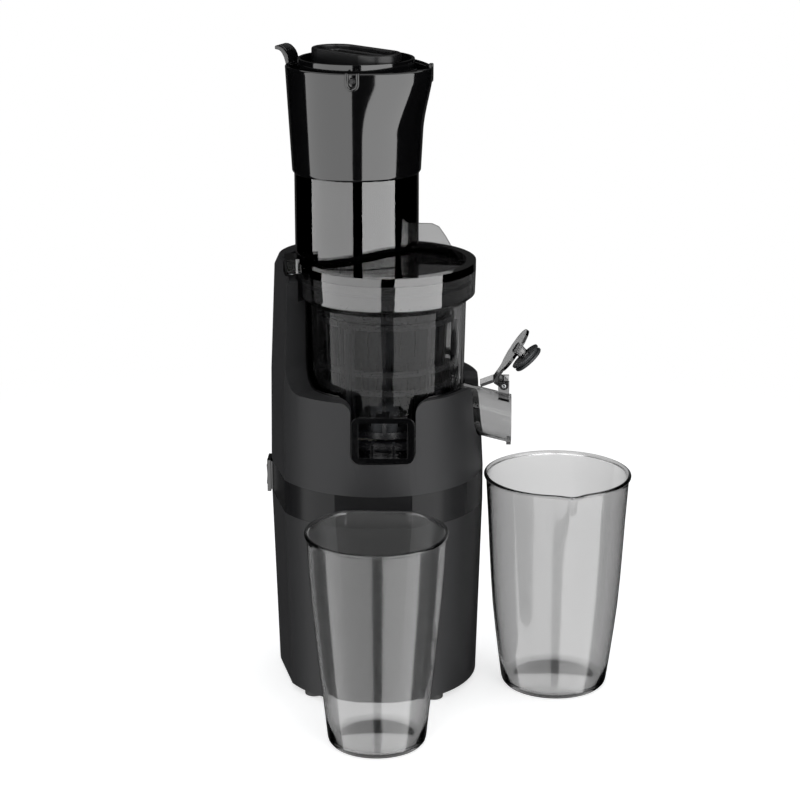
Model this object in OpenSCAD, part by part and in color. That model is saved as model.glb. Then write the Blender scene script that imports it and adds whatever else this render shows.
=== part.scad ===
// Cold press juicer: housing with column, clear bowl with strainer, brush and auger,
// lid with feed chute and hopper, pusher, juice jug and pulp container.
// Frame: millimetres, +Z up, origin on the floor under the bowl axis, +X the side of the
// juice spout, -Y the side of the pulp outlet, the column on the diagonal of -X and +Y.

/* [Housing] */
// Radius of the front arc of the housing plan, mm
body_r = 78.5; // [77.5:0.5:80.5]
// Radius of the rear arc of the housing plan, mm
rear_r = 60.5; // [59:0.5:63]
// Housing wall thickness, mm
wall = 3; // [2.5:0.25:3.5]
// Height of the rubber feet, mm
foot_h = 4; // [3:0.5:5.5]
// Height of the lower edge of the gloss band, mm
band_z = 141; // [139:0.5:143]
// Height of the gloss band, mm
band_h = 25; // [23:0.5:27]
// Height of the shoulder around the bowl, mm
shoulder_z = 234; // [231:0.5:236]
// Height of the top of the column, mm
column_z = 322; // [320:0.5:325]

/* [Bowl and spout] */
// Radius of the bowl at its collar, mm
bowl_r = 65; // [64.5:0.1:65.4]
// Wall thickness of the bowl, mm
bowl_t = 2.8; // [2.4:0.1:3.1]
// Outer diameter of the juice spout, mm
spout_d = 35; // [34:0.25:35.5]
// Downward slope of the juice spout, degrees
spout_tilt = 14; // [13:0.5:15]
// Distance of the spout mouth from the bowl axis, mm
spout_x = 92; // [91.5:0.25:93]
// Outside width of the pulp outlet frame, mm
pulp_w = 45; // [43:0.5:46]

/* [Juicing set] */
// Largest radius of the auger flights, mm
auger_r = 36; // [34.5:0.25:36.25]
// Twist of the auger flights over their height, degrees
auger_twist = 560; // [440:20:640]
// Radius of the strainer at its lower end, mm
strainer_r = 39.5; // [39:0.25:40]
// Pressure angle of all gear teeth, degrees
press_angle = 25; // [24:0.5:26]

/* [Lid, chute and pusher] */
// Outer radius of the feed chute, mm
chute_r = 45.4; // [45:0.1:45.8]
// Wall thickness of the feed chute, mm
chute_t = 2.4; // [2:0.1:2.6]
// Height of the hopper rim, mm
hopper_z = 462.5; // [460:0.5:464]
// Height of the top of the pusher handle, mm
pusher_z = 473; // [471:0.5:478]
// Gap between pusher and chute, mm
pusher_gap = 0.6; // [0.5:0.05:0.8]

/* [Vessels] */
// Height of the juice jug, mm
jug_h = 166; // [160:1:172]
// Rim radius of the juice jug, mm
jug_r = 53; // [50:0.5:54]
// Height of the pulp container, mm
box_h = 158; // [152:1:164]
// Rim radius of the pulp container, mm
box_r = 49; // [46:0.5:50]
// Wall thickness of the two vessels, mm
vessel_t = 2; // [1.6:0.1:2.4]

/* [Hidden] */
$fn = 72;
front_c = [-7, 7];
rear_c = [-28, 28];
crease_a = 212;
base_scale = 0.948;
lean_scale = 0.955;
tip_scale = 0.915;
tip_z = column_z - 7;
flat_y = -66.3;
band_top = band_z + band_h;
column_a = 141.2;
cut_p = 35.6;
lean_c = [-60, 60];
shoulder_scale = 0.972;
seam = 0.04;
fillet_r = 18;
bore_r = bowl_r - 4.5;
collar_bore_r = bowl_r + 1.6;
lug_bore_r = bowl_r + 10;
chute_bore_r = 77.8;
floor_z = 180;
floor_t = 3;
foot_r = 7;
feet = [[-53, -41], [41, 53], [36.5, -44], [-57, 57]];
pillars = [0, 65, 205, 300];
motor_c = [-16.971, 16.971];
counter_c = [5.240, 37.132];
gearbox_r = 61;
gearbox_z = 110;
lug_z = 140;
cover_z = 150;
gear_z = 117;
tie_r = 34.2;
board_z = 102;
shaft_r = 6;
hex_r = 5.6;
hex_z0 = 186;
hex_z1 = 222;
bowl_z = 188;
bowl_floor = 191.2;
step_z = 297;
collar_z = 300.5;
rim_z = 318.7;
lid_floor = 321.4;
lid_z = 324.8;
lug_bottom = 317.5;
lug_a = 188;
hub_r = 10.6;
hub_top = 206;
train_z = 192.2;
train_h = 5.6;
train_m = 2;
train_a = 45;
brush_top = 285;
strainer_z = 200;
strainer_top_r = 45;
flange_z = 301;
spout_z = 204.5;
spout_r = spout_d / 2;
spout_bore = spout_r - 2;
pulp_z0 = 191;
pulp_z1 = 225;
chute_c = [-22.6, 22];
hopper_base = 385;
hopper_t = 2.4;
flare_r = 50;
flare_out = 8;
hinge_x = 86.2;
hinge_z = 232;
flap_a = 57;
flap_n = 6.1;
plug_u = 25.6;
plug_n = -1.2;
pusher_r = chute_r - chute_t - pusher_gap;
pusher_base = 347;
cup_z = 467.5;
deck_z = 446;
gate_z = 457.5;
gate_x = 37.5;
gate_y = 35;
jug_c = [126.8, -9];
box_c = [-2.4, -119.5];
box_flat = 42;
switch_y = 24;
switch_z = 152.5;
rocker_x = -85.5;

function dir(a) = [cos(a), sin(a)];
function arc_pts(c, r, a0, a1, n) = [for (i = [0:n]) c + r * dir(a0 + (a1 - a0) * i / n)];
function plan_pts(g) = concat(
  arc_pts(front_c, body_r - g, crease_a, 630 - crease_a, 48),
  arc_pts(rear_c, rear_r - g, 435.2, 554.8, 26));

// Gear outline with involute flanks: z teeth of module m, a tooth centred on angle rot.
function inv_deg(a) = tan(a) * 180 / PI - a;
function half_angle(z, rp, r, thin) = 90 / z - thin / 2 / rp * 180 / PI + inv_deg(press_angle)
  - inv_deg(acos(min(1, rp * cos(press_angle) / r)));
function gear_pts(z, m, add, ded, thin, rot) =
  let (rp = z * m / 2, rb = rp * cos(press_angle), rr = rp - ded, rt = rp + add)
  let (r0 = max(rb, rr + 0.05), rs = [r0, (r0 + rt) / 2, rt])
  [for (i = [0:z - 1]) let (c = rot + 360 * i / z)
    for (p = concat([[rr, -half_angle(z, rp, r0, thin)]],
      [for (r = rs) [r, -half_angle(z, rp, r, thin)]],
      [for (k = [2:-1:0]) [rs[k], half_angle(z, rp, rs[k], thin)]],
      [[rr, half_angle(z, rp, r0, thin)]]))
    p[0] * dir(c + p[1])];

module at(c) translate([c[0], c[1], 0]) children();

module plan_solid(z0, z1, g) translate([0, 0, z0])
  linear_extrude(height = z1 - z0) polygon(plan_pts(g));

module plan_taper(z0, z1, g, s0, s1, c = front_c, pts = []) translate([c[0], c[1], z0])
  linear_extrude(height = z1 - z0, scale = s1 / s0)
    scale(s0) translate(-c) polygon(len(pts) > 0 ? pts : plan_pts(g));

function lean_pts(g) = [for (p = plan_pts(g)) lean_c + shoulder_scale * (p - lean_c)];

module tube(r_out, r_in, z0, z1) difference() {
  translate([0, 0, z0]) cylinder(r = r_out, h = z1 - z0);
  translate([0, 0, z0 - 1]) cylinder(r = r_in, h = z1 - z0 + 2);
}

module disc(r, z0, z1) translate([0, 0, z0]) cylinder(r = r, h = z1 - z0);

module gear(z, m, thin, rot, z0, h) translate([0, 0, z0]) linear_extrude(height = h)
  polygon(gear_pts(z, m, 0.65 * m, 1.05 * m, thin, rot));

// Block of plan directions a0 to a1 around the bowl axis.
module sector(r, a0, a1, z0, z1) translate([0, 0, z0]) linear_extrude(height = z1 - z0)
  polygon(concat([[0, 0]], [for (i = [0:12]) r * dir(a0 + (a1 - a0) * i / 12)]));

// Space in front of the column, above the shoulder, with a sweeping inner corner.
module front_cut(o) rotate([0, 0, column_a]) translate([0, 130, 0]) rotate([90, 0, 0])
  linear_extrude(height = 260) polygon(concat([[-140, shoulder_z + o]],
    arc_pts([cut_p - fillet_r, shoulder_z + fillet_r], fillet_r - o, -90, 0, 10),
    [[cut_p - o, 420], [-140, 420]]));

// Outline of a notch in the shoulder: half width hw, floor at zb, lower corners rc, flare rf.
function notch_pts(hw, zb, rc, rf) = concat(
  arc_pts([-hw + rc, zb + rc], rc, 180, 270, 8),
  arc_pts([hw - rc, zb + rc], rc, 270, 360, 8),
  arc_pts([hw + rf, shoulder_z - rf + 0.4], rf, 180, 90, 6),
  [[hw + rf, 420], [-hw - rf, 420]],
  arc_pts([-hw - rf, shoulder_z - rf + 0.4], rf, 90, 0, 6));

// Notch for the pulp outlet, g wider all round.
module pulp_notch(g) rotate([90, 0, 0]) linear_extrude(height = 90)
  polygon(notch_pts(pulp_w / 2 + 0.7 + g, pulp_z0 - 1 - g, 7, 8.5));

// Notch for the juice spout, g wider all round.
module spout_notch(g) rotate([90, 0, 90]) linear_extrude(height = 90)
  polygon(notch_pts(spout_r + 1.2 + g, spout_z - spout_r + 4.3 - g, spout_r + 1, 6));

// Bores or screws at the four gearbox lugs.
module gearbox_bolts(r, z0, z1) at(front_c) for (a = pillars) rotate([0, 0, a])
  translate([66.5, 0, 0]) disc(r, z0, z1);

// Ears of the gearbox case and cover.
module gearbox_lugs(z0, z1) at(front_c) for (a = pillars) rotate([0, 0, a])
  translate([gearbox_r + 3, 0, 0]) disc(5.5, z0, z1);

// Flat front facet of the lower housing and the band.
module front_facet(g) translate([-60, flat_y - 20 + g, 0]) cube([120, 20, 200]);

module lower_housing() color("dimgray") difference() {
  union() {
    difference() {
      plan_taper(foot_h, band_z, 0, base_scale, 1);
      difference() {
        plan_taper(foot_h - 1, band_z + 1, wall, base_scale, 1);
        front_facet(wall);
      }
      front_facet(0);
    }
    for (f = feet) at(f) disc(4.5, foot_h + 3, 26);
    intersection() {
      at(front_c) for (a = pillars) rotate([0, 0, a]) translate([70, 0, 0]) disc(6, 80, lug_z);
      plan_taper(foot_h, band_z, wall / 2, base_scale, 1);
    }
    intersection() {
      for (f = feet) at(f) rotate([0, 0, atan2(f[1] - front_c[1], f[0] - front_c[0])])
        translate([2, -1.2, foot_h + 3]) cube([16, 2.4, 18]);
      plan_taper(foot_h, 60, wall / 2, base_scale, base_scale);
    }
  }
  for (f = feet) at(f) disc(1.7, 0, 22);
  gearbox_bolts(1.7, lug_z - 14, 160);
  translate([0, 0, 34]) rotate([0, 0, 135]) rotate([0, 90, 0]) cylinder(r = 7, h = 130);
  for (i = [-3:3]) rotate([0, 0, 135]) translate([70, i * 8 - 1.5, 62]) cube([60, 3, 34]);
}

module gloss_band() color("black") difference() {
  plan_solid(band_z, band_top, 0);
  difference() {
    plan_solid(band_z - 1, band_top + 1, wall + 0.4);
    front_facet(wall + 0.4);
  }
  front_facet(0);
  translate([-100, switch_y - 7.2, switch_z - 11.2]) cube([20, 14.4, 22.4]);
}

module upper_housing() color("dimgray") {
  upper_shell();
  tube(39, 36, floor_z + floor_t - 0.1, bowl_z);
}

module upper_shell() difference() {
  union() {
    plan_taper(band_top, shoulder_z + 1, 0, 1, shoulder_scale, lean_c);
    plan_taper(shoulder_z + 1, tip_z, 0, 1, lean_scale, front_c, lean_pts(seam));
    plan_taper(tip_z, column_z, 0, lean_scale, tip_scale, front_c, lean_pts(2 * seam));
  }
  front_cut(0);
  disc(bore_r, floor_z + floor_t, 400);
  disc(bore_r, 100, floor_z);
  disc(8.5, 100, 300);
  disc(collar_bore_r, step_z, 400);
  disc(lug_bore_r, 312.5, 400);
  intersection() {
    disc(chute_bore_r, 316, 400);
    sector(120, 100, 172, 300, 400);
  }
  pulp_notch(0);
  spout_notch(0);
  difference() {
    plan_solid(100, shoulder_z - 4, wall + 3);
    disc(bore_r + 3, 90, 400);
    intersection() {
      pulp_notch(3);
      plan_solid(100, 300, 0);
    }
    spout_notch(3);
  }
  difference() {
    plan_taper(shoulder_z - 5, tip_z - 14, 6.5, 1, lean_scale);
    disc(70, 90, 400);
    rotate([0, 0, column_a]) translate([-100, -120, 100]) cube([cut_p + 4 + 100, 240, 300]);
  }
}

module bowl_liner() color("black") difference() {
  tube(bore_r - 0.1, bore_r - 1.4, floor_z + floor_t, step_z - 1.2);
  front_cut(1.2);
  pulp_notch(0);
  spout_notch(0);
}

module base_plate() color("dimgray") difference() {
  plan_taper(foot_h, foot_h + 3, wall + 0.4, base_scale, base_scale + 0.001);
  front_facet(wall + 0.4);
  for (f = feet) at(f) disc(1.7, 0, 22);
  for (i = [-4:4]) at(front_c) translate([i * 8 - 1.5, -20, 0]) cube([3, 40, 30]);
}

module rubber_feet() color("black") for (f = feet) at(f) difference() {
  disc(foot_r, 0, foot_h);
  disc(3.6, -1, 1.6);
  disc(1.7, -1, foot_h + 1);
}

module foot_screws() color("silver") for (f = feet) at(f) {
  disc(3.2, 0.4, 1.6);
  disc(1.5, 1.5, 20);
}

module cord_inlet() color("black") rotate([0, 0, 135]) translate([0, 0, 34])
  rotate([0, 90, 0]) difference() {
    union() {
      translate([0, 0, 84]) cylinder(r = 6.9, h = 14);
      translate([0, 0, 97]) cylinder(r = 9, h = 4);
    }
    translate([0, 0, 80]) cylinder(r = 4, h = 30);
  }

module power_switch_bezel() color("black") translate([0, switch_y, switch_z]) {
  difference() {
    union() {
      translate([-89, -7, -11]) cube([15, 14, 22]);
      translate([-91.2, -8.4, -12.4]) cube([2.78, 16.8, 24.8]);
    }
    translate([-95, -5.4, -9.4]) cube([18.6, 10.8, 18.8]);
  }
  translate([rocker_x, 6.5, 0]) rotate([90, 0, 0]) cylinder(r = 1.14, h = 13, $fn = 24);
}

module power_switch_rocker() color("gray") translate([rocker_x, switch_y, switch_z])
  rotate([90, 0, 0]) difference() {
    translate([0, 0, -5]) linear_extrude(height = 10)
      polygon([[4.5, -3], [4.5, 3], [0, 6.5], [-6.5, 7.6], [-6, 0], [-6.5, -7.6], [0, -6.5]]);
    translate([0, 0, -6]) cylinder(r = 1.2, h = 12, $fn = 24);
  }

// Vertical motor behind the bowl axis.
module motor_stator() color("gray") at(motor_c) difference() {
  disc(32, 36, 88);
  disc(19.6, 30, 95);
  for (i = [0:5]) rotate([0, 0, 60 * i]) translate([24.5, 0, 30]) cylinder(r = 3.6, h = 70, $fn = 36);
}

module motor_end_frames() color("silver") at(motor_c) {
  for (z = [30, 88.2]) difference() {
    disc(35, z, z + 5.8);
    disc(4.06, z - 1, z + 7);
    for (i = [0:7]) rotate([0, 0, 45 * i]) translate([21, 0, z - 1])
      cylinder(r = 4, h = 8, $fn = 36);
  }
  for (i = [0:3]) rotate([0, 0, 90 * i + 45]) translate([tie_r, 0, 30])
    cylinder(r = 1.9, h = 64, $fn = 24);
}

module motor_cushions() color("black") at(motor_c)
  for (i = [0:3]) rotate([0, 0, 90 * i]) translate([27.5, 0, 0]) tube(4, 1.6, 94, gearbox_z);

module motor_rotor() color("darkgray") at(motor_c) difference() {
  disc(18.6, 38, 86);
  disc(4.01, 30, 95);
  for (i = [0:11]) rotate([0, 0, 30 * i]) translate([17.6, -0.6, 30]) cube([3, 1.2, 70]);
}

module motor_shaft() color("silver") at(motor_c) {
  disc(4, 16, gear_z + 11.2);
  disc(6, 94, 96);
}

module motor_pinion() color("silver") at(motor_c) difference() {
  gear(12, 1, 0.14, atan2(counter_c[1] - motor_c[1], counter_c[0] - motor_c[0]), gear_z, 11);
  disc(4.01, 100, 140);
}

module cooling_fan() color("dimgray") at(motor_c) {
  tube(9, 4.01, 17, 30);
  for (i = [0:8]) rotate([0, 0, 40 * i]) translate([7.5, 0, 17.6]) rotate([0, 0, 18])
    translate([0, -0.8, 0]) cube([18, 1.6, 9]);
  tube(27.4, 6, 17, 18.4);
}

module gearbox_case() color("gray") difference() {
  union() {
    at(front_c) disc(gearbox_r, gearbox_z, cover_z);
    gearbox_lugs(lug_z, cover_z);
    for (x = [-32, 12]) for (y = [-42, -20]) at([x, y]) disc(3, board_z, gearbox_z + 1);
  }
  at(front_c) disc(gearbox_r - 3, gearbox_z + 4, 160);
  at(motor_c) disc(7.4, 100, 130);
  at(counter_c) disc(3, 100, 130);
  gearbox_bolts(1.7, 130, 160);
}

module gearbox_cover() color("gray") difference() {
  union() {
    at(front_c) disc(gearbox_r, cover_z, cover_z + 4);
    gearbox_lugs(cover_z, cover_z + 4);
    disc(16, cover_z, 164);
    at(counter_c) disc(7, cover_z, 157);
  }
  disc(13, 140, 161);
  disc(shaft_r + 1.2, 140, 170);
  at(counter_c) disc(3.06, 140, 155);
  gearbox_bolts(1.7, 130, 160);
}

module gearbox_screws() color("silver") {
  gearbox_bolts(1.5, lug_z - 12, cover_z + 4.2);
  gearbox_bolts(3, cover_z + 4, cover_z + 6.4);
}

module shaft_bearings() color("silver") {
  tube(12.94, shaft_r + 0.06, 154.4, 161);
  tube(14, shaft_r + 0.06, 114, 117.6);
}

module counter_gear() color("ivory") at(counter_c) difference() {
  gear(48, 1, 0.14, atan2(motor_c[1] - counter_c[1], motor_c[0] - counter_c[0]) + 3.75,
    gear_z + 1, 9);
  disc(5.01, 100, 140);
  for (i = [0:5]) rotate([0, 0, 60 * i]) translate([15, 0, 100]) cylinder(r = 4, h = 40, $fn = 36);
}

module counter_pinion() color("silver") at(counter_c) difference() {
  gear(12, 1.25, 0.16, atan2(-counter_c[1], -counter_c[0]), gear_z + 10.4, 17);
  disc(5.01, 100, 160);
}

module counter_shaft() color("silver") at(counter_c) {
  disc(5, gearbox_z + 4, gear_z + 30);
  disc(2.94, gearbox_z + 0.5, gear_z);
  disc(3, gear_z + 29, 154.6);
}

module output_gear() color("ivory") difference() {
  gear(48, 1.25, 0.16, atan2(counter_c[1], counter_c[0]) + 3.75, gear_z + 14, 12);
  disc(shaft_r + 0.01, 100, 160);
  for (i = [0:5]) rotate([0, 0, 60 * i]) translate([18, 0, 100]) cylinder(r = 4.5, h = 60, $fn = 36);
}

module drive_shaft() color("silver") {
  disc(shaft_r, gearbox_z + 4, hex_z0);
  translate([0, 0, hex_z0 - 0.5]) cylinder(r = hex_r, h = hex_z1 - hex_z0 + 0.5, $fn = 6);
}

module shaft_seal() color("black") difference() {
  union() {
    disc(8.4, floor_z - 2, floor_z + floor_t);
    disc(11, floor_z + floor_t, floor_z + floor_t + 1.8);
    disc(11, floor_z - 3.4, floor_z);
  }
  disc(shaft_r + 0.08, 100, 200);
}

module control_board() color("green") difference() {
  translate([-36, -46, board_z - 1.6]) cube([52, 30, 1.6]);
  for (x = [-32, 12]) for (y = [-42, -20]) at([x, y]) disc(1.6, 90, 110);
}

module board_capacitor() color("navy") {
  at([-24, -34]) disc(6, board_z - 13, board_z - 1.6);
  translate([-8, -42, board_z - 10]) cube([16, 16, 8.4]);
}

module interlock_switch() color("black") rotate([0, 0, 172])
  translate([70.1, -7, 282]) cube([3.6, 14, 16]);

// Bowl profile, lathed, with hub, spout and pulp duct.
module bowl_shape() difference() {
  union() {
    rotate_extrude() polygon([[0, bowl_z], [bowl_r - 10, bowl_z], [bowl_r - 8.8, 194],
      [bowl_r - 8, 249], [bowl_r - 7, step_z - 1.5], [bowl_r - 0.6, collar_z], [bowl_r, rim_z],
      [0, rim_z]]);
    translate([spout_x, 0, spout_z]) rotate([0, 90 + spout_tilt, 0])
      translate([0, 0, -42]) cylinder(r = spout_r, h = 62);
    translate([-pulp_w / 2 + 3, -67, pulp_z0 + 2]) cube([pulp_w - 6, 20, pulp_z1 - pulp_z0 - 4]);
  }
  translate([spout_x, -40, 100]) cube([60, 80, 200]);
  translate([spout_x, 0, spout_z]) rotate([0, 90 + spout_tilt, 0])
    translate([0, 0, -60]) cylinder(r = spout_bore, h = 90);
  rotate_extrude() polygon([[0, bowl_floor], [bowl_r - 9.2 - bowl_t, bowl_floor],
    [bowl_r - 7.8 - bowl_t, 249], [bowl_r - 6.8 - bowl_t, flange_z], [bowl_r - 3.4, flange_z],
    [bowl_r - 3, rim_z + 1], [0, rim_z + 1]]);
  translate([-pulp_w / 2 + 5, -70, pulp_z0 + 4]) cube([pulp_w - 10, 30, pulp_z1 - pulp_z0 - 8]);
}

module juicing_bowl() color("slategray", 0.5) {
  difference() {
    union() {
      bowl_shape();
      disc(hub_r, bowl_z, hub_top);
      tube(50, 46, bowl_floor - 0.1, train_z);
      for (s = [0, 180]) rotate([0, 0, train_a + s]) translate([27, 0, 0])
        disc(4.6, bowl_floor - 0.5, train_z);
    }
    disc(7.9, 100, 220);
  }
  for (s = [0, 180]) rotate([0, 0, train_a + s]) translate([27, 0, 0]) disc(3, bowl_floor - 0.5, 198);
  translate([spout_x - 3.4, -4, spout_z - spout_r - 1.6]) cube([3.4, 8, 3.4]);
}

module bowl_hub_seal() color("white") difference() {
  union() {
    tube(7.9, 7.1, bowl_z - 0.4, bowl_z + 5);
    tube(9.4, 7.1, bowl_z - 1.2, bowl_z);
  }
}

module pulp_outlet_frame() color("black") {
  rotate([90, 0, 0]) translate([0, 0, 67]) linear_extrude(height = 3.4) difference() {
    union() {
      translate([-pulp_w / 2, pulp_z0 + 6]) square([pulp_w, pulp_z1 - pulp_z0 - 12]);
      translate([-pulp_w / 2 + 6, pulp_z0]) square([pulp_w - 12, pulp_z1 - pulp_z0]);
      for (x = [-1, 1]) for (z = [pulp_z0 + 6, pulp_z1 - 6]) translate([x * (pulp_w / 2 - 6), z])
        circle(6);
    }
    translate([-pulp_w / 2 + 5, pulp_z0 + 4]) square([pulp_w - 10, pulp_z1 - pulp_z0 - 8]);
  }
  translate([-5, -69.6, pulp_z1 - 0.5]) cube([10, 6, 3.6]);
  for (x = [-8.6, 6.6]) translate([x, -68, pulp_z0 + 4]) cube([2, 9, 9]);
}

module pulp_plug() color("gray") {
  translate([-pulp_w / 2 + 9, -54, 186.4]) cube([pulp_w - 18, 10, 1.6]);
  translate([-pulp_w / 2 + 13, -51, 184.6]) cube([pulp_w - 26, 5, 2]);
}

module spout_hinge_bracket() color("dimgray") {
  difference() {
    for (s = [-1, 1]) translate([hinge_x - 4, s * 8.8 - 1.2, spout_z + spout_r - 4.4])
      cube([8, 2.4, hinge_z - spout_z - spout_r + 7.8]);
    translate([spout_x, 0, spout_z]) rotate([0, 90 + spout_tilt, 0])
      translate([0, 0, -42]) cylinder(r = spout_r + 0.01, h = 62);
    translate([hinge_x, 30, hinge_z]) rotate([90, 0, 0]) cylinder(r = 1.51, h = 60, $fn = 24);
  }
}

module strainer_frame() color("black") {
  tube(bowl_r - 4.2, strainer_top_r - 1.2, flange_z, flange_z + 2.4);
  tube(strainer_top_r + 0.9, strainer_top_r - 1.2, flange_z - 14, flange_z + 0.1);
  tube(strainer_r + 1.7, strainer_r - 1.6, strainer_z, strainer_z + 5);
  for (i = [0:7]) rotate([0, 0, 45 * i]) rotate([90, 0, 0]) translate([0, 0, -1.5])
    linear_extrude(height = 3) polygon([[strainer_r + 0.6, strainer_z + 1],
      [strainer_r + 1.7, strainer_z + 1], [strainer_top_r + 0.9, flange_z - 8],
      [strainer_top_r - 0.1, flange_z - 8]]);
}

module strainer_mesh() color("silver") difference() {
  rotate_extrude() polygon([[strainer_r - 0.3, strainer_z + 5], [strainer_r + 0.5, strainer_z + 5],
    [strainer_top_r - 0.6, flange_z - 14], [strainer_top_r - 1.4, flange_z - 14]]);
  for (k = [0:2]) for (i = [0:23]) rotate([0, 0, 15 * i + 7.5 * (k % 2)])
    translate([30, -0.6, strainer_z + 9 + 26 * k]) cube([20, 1.2, 22]);
}

// Screw with a core and two flights.
module auger_body() color("dimgray") difference() {
  union() {
    disc(13.6, train_z + train_h, 199);
    disc(15.6, 198.4, 203);
    translate([0, 0, 203]) cylinder(r1 = 24, r2 = 18, h = 76);
    translate([0, 0, 203]) linear_extrude(height = 80, twist = auger_twist, slices = 32)
      polygon(concat(arc_pts([0, 0], 15, 14, 166, 4), [auger_r * dir(178), auger_r * dir(182)],
        arc_pts([0, 0], 15, 194, 346, 4), [auger_r * dir(-2), auger_r * dir(2)]));
    translate([0, 0, 278.9]) cylinder(r1 = 18, r2 = 9, h = 14);
  }
  disc(12, 190, hub_top);
  disc(9, 200, 226);
  disc(4, 270, 300);
}

module auger_pinion() color("ivory") difference() {
  gear(16, train_m, 0.24, train_a, train_z, train_h);
  disc(12, 180, 220);
}

module auger_hex_socket() color("silver") difference() {
  disc(8.98, hub_top, 225.6);
  translate([0, 0, 200]) cylinder(r = hex_r + 0.2, h = hex_z1 - 198.6, $fn = 6);
}

module auger_top_pin() color("silver") disc(3.98, 270, 317.2);

module idler() translate([27, 0, 0]) difference() {
  gear(11, train_m, 0.24, 180 + 180 / 11, train_z, train_h);
  disc(3.06, 180, 220);
}

module idler_gear_a() color("ivory") rotate([0, 0, train_a]) idler();

module idler_gear_b() color("ivory") rotate([0, 0, train_a + 180]) idler();

module brush_frame() color("dimgray") difference() {
  union() {
    disc(44.5, train_z, train_z + train_h);
    tube(50, 43.4, train_z, train_z + 3);
    for (z = [235, 249, 283]) tube(50, 47.6, z, z + 4);
    for (i = [0:2]) rotate([0, 0, 120 * i]) translate([47.6, -4, train_z])
      cube([2.2, 8, brush_top - train_z]);
  }
  translate([0, 0, train_z - 1]) linear_extrude(height = train_h + 2)
    polygon(gear_pts(38, train_m, 1.05 * train_m, 0.6 * train_m, -0.24, train_a));
  for (i = [0:2]) rotate([0, 0, 120 * i]) translate([46, -1.4, train_z + 11])
    cube([8, 2.8, brush_top - train_z - 16]);
}

module silicone_wipers() color("white") for (i = [0:2]) rotate([0, 0, 120 * i])
  translate([46.4, -1.3, train_z + 11]) cube([5.2, 2.6, brush_top - train_z - 16]);

// Local frame of the spout cap: u along the flap from the hinge, n off its upper face.
module flap_frame() translate([hinge_x, 0, hinge_z]) rotate([0, -flap_a, 0]) children();

module spout_flap() color("slategray", 0.6) {
  flap_frame() difference() {
    union() {
      translate([25, 0, flap_n]) cylinder(r = 17.6, h = 2.2);
      translate([-1, -7.2, flap_n]) cube([16, 14.4, 2.2]);
      rotate([90, 0, 0]) translate([0, 0, -7.2]) cylinder(r = 3.4, h = 14.4);
      translate([-2.8, -7.2, 0]) cube([5.6, 14.4, flap_n + 0.8]);
      translate([plug_u, 0, plug_n]) rotate([0, spout_tilt, 0]) cylinder(r = 4, h = 9);
      translate([0.6, 0, flap_n + 1.8]) rotate([0, 36, 0]) translate([-12, -7, -2.2])
        cube([13.4, 14, 2.2]);
    }
    rotate([90, 0, 0]) translate([0, 0, -20]) cylinder(r = 1.56, h = 40, $fn = 24);
  }
}

module spout_plug() color("white") flap_frame() translate([plug_u, 0, plug_n])
  rotate([0, spout_tilt, 0]) rotate_extrude() polygon([[0, -5.4], [11, -5.4], [11.9, -4.6],
    [11.9, -3.4], [10.2, -2.9], [10.2, -2.1], [12, -1.5], [12, 0], [0, 0]]);

module spout_hinge_pin() color("silver") translate([hinge_x, 10, hinge_z]) rotate([90, 0, 0])
  cylinder(r = 1.5, h = 20, $fn = 24);

// Lid: dished disc with raised rim, boss, chute opening, rib and locking lug.
module bowl_lid() color("slategray", 0.5) {
  difference() {
    union() {
      disc(bowl_r, rim_z, lid_floor);
      tube(bowl_r, bowl_r - 7, rim_z, lid_z);
      tube(bowl_r - 3.8, bowl_r - 6, flange_z + 2.4, rim_z + 0.1);
      at(chute_c) disc(chute_r, rim_z, lid_floor);
    }
    intersection() {
      at(chute_c) disc(chute_r - chute_t, 300, 340);
      disc(bowl_r - 9, 300, 340);
      rotate([0, 0, 135]) translate([9, -100, 300]) cube([200, 200, 60]);
      difference() {
        disc(200, 300, 340);
        disc(14, 290, 350);
      }
    }
    at(chute_c) disc(chute_r, lid_floor, 340);
    disc(9, 300, 317.8);
    tube(bowl_r - 3.2, bowl_r - 4.7, 309.8, 312.4);
  }
  difference() {
    disc(12, rim_z - 9, lid_floor + 3);
    disc(9, 300, 317.8);
    at(chute_c) tube(chute_r, chute_r - chute_t, lid_floor, 330);
  }
  difference() {
    rotate([0, 0, -5]) translate([0, 1, 0]) rotate([90, 0, 0]) linear_extrude(height = 2)
      polygon([[12, lid_floor - 0.5], [12, 351.6], [33, 351.6], [38.2, 349.4], [43.4, 342],
        [49, 332], [54.6, lid_z], [60, lid_z - 0.2], [60, lid_floor - 0.5]]);
    at(chute_c) disc(chute_r, 300, 400);
  }
  difference() {
    intersection() {
      tube(lug_bore_r - 1, bowl_r - 0.2, lug_bottom, lug_bottom + 10.5);
      sector(120, lug_a - 9, lug_a + 9, 300, 340);
    }
    disc(bowl_r + 0.3, 300, rim_z + 0.2);
  }
}

module lid_gasket() color("white") tube(bowl_r - 3.5, bowl_r - 4.68, 309.8, 312.4);

module lid_bearing() color("ivory") difference() {
  disc(8.98, 307, 317.8);
  disc(4.04, 300, 320);
}

module lid_magnet() color("silver") rotate([0, 0, lug_a]) translate([69.5, 0, 0])
  disc(3, lug_bottom - 2.2, lug_bottom);

module feed_chute() color("slategray", 0.5) at(chute_c) {
  tube(chute_r, chute_r - chute_t, lid_floor, hopper_base + 8);
  tube(chute_r - chute_t + 0.1, pusher_r - 1.6, pusher_base - 2.4, pusher_base);
}

// How far the rim bulges out at turn a, towards the front right.
function bulge(a) = let (u = (a + 575) % 360 - 180)
  abs(u) < 55 ? flare_out * (1 + cos(u * 180 / 55)) / 2 : 0;

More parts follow.
